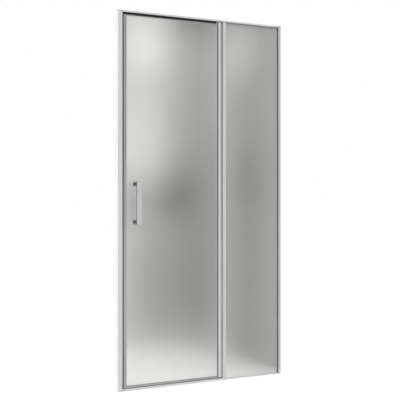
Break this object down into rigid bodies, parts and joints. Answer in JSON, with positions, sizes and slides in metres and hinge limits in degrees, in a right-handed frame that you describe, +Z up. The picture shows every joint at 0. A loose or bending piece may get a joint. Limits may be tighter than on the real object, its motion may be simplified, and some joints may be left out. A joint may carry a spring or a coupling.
{
  "type": "shower door",
  "caption": "Framed shower front for a recess: a satin-glass pivot door with a bar handle, beside an in-line fixed satin-glass panel.",
  "frame": {"origin": "midway between the two wall faces, on the shower tray, in the middle plane of the glass", "axes": "+X from the left wall to the right wall as seen from outside, +Y into the shower, +Z up"},
  "size_m": [1, 0.0693, 1.95],
  "materials": {
    "aluminium": "satin anodised",
    "satin_glass": "satin etched",
    "grey_seal": "soft matt",
    "clear_seal": "cloudy clear",
    "white_seal": "white",
    "dark_seal": "matt",
    "wedge_rubber": "matt",
    "magnet": "matt",
    "steel": "plain",
    "bearing_plastic": "black",
    "cap_plastic": "fine matt",
    "handle_metal": "fine satin",
    "dark_metal": "dark satin"
  },
  "bodies": {
    "frame": {"left_wall_profile": "aluminium", "right_wall_profile": "aluminium", "strike_profile": "aluminium", "strike_magnet_strip": "magnet", "right_glass_channel": "aluminium", "left_top_cap": "cap_plastic", "right_top_cap": "cap_plastic", "adjusting_screws": "steel", "screw_cover_caps": "cap_plastic", "top_rail": "aluminium", "threshold_rail": "aluminium", "fixed_bottom_channel": "white_seal", "centre_post": "aluminium", "post_seal": "clear_seal", "fixed_glass": "satin_glass", "fixed_gasket_left": "clear_seal", "fixed_gasket_right": "clear_seal", "fixed_gasket_top": "grey_seal", "fixed_gasket_bottom": "white_seal", "fixed_glazing_wedges": "wedge_rubber", "top_stop_seal": "dark_seal", "corner_screws": "steel", "post_screws": "steel", "pivot_block_screws": "steel", "upper_pivot_block": "bearing_plastic", "lower_pivot_block": "bearing_plastic", "upper_pivot_pin": "steel", "lower_pivot_pin": "steel", "thrust_washer": "bearing_plastic"},
    "door": {"upper_hinge_bush": "bearing_plastic", "lower_hinge_bush": "bearing_plastic", "door_hinge_profile": "aluminium", "door_hinge_gasket": "clear_seal", "door_glazing_wedge": "wedge_rubber", "door_glass": "satin_glass", "door_magnetic_seal": "grey_seal", "door_magnet_strip": "magnet", "door_bottom_seal": "grey_seal", "handle_bar": "handle_metal", "handle_lower_post": "dark_metal", "handle_upper_post": "dark_metal", "handle_fixing_screws": "steel", "handle_sleeves": "bearing_plastic", "handle_washers": "bearing_plastic"}
  },
  "joints": [
    {"name": "door_swing", "type": "hinge", "parent": "frame", "child": "door", "pos_m": [0.108, 0, 0], "axis": [0, 0, 1], "range_deg": [0, 90]}
  ]
}
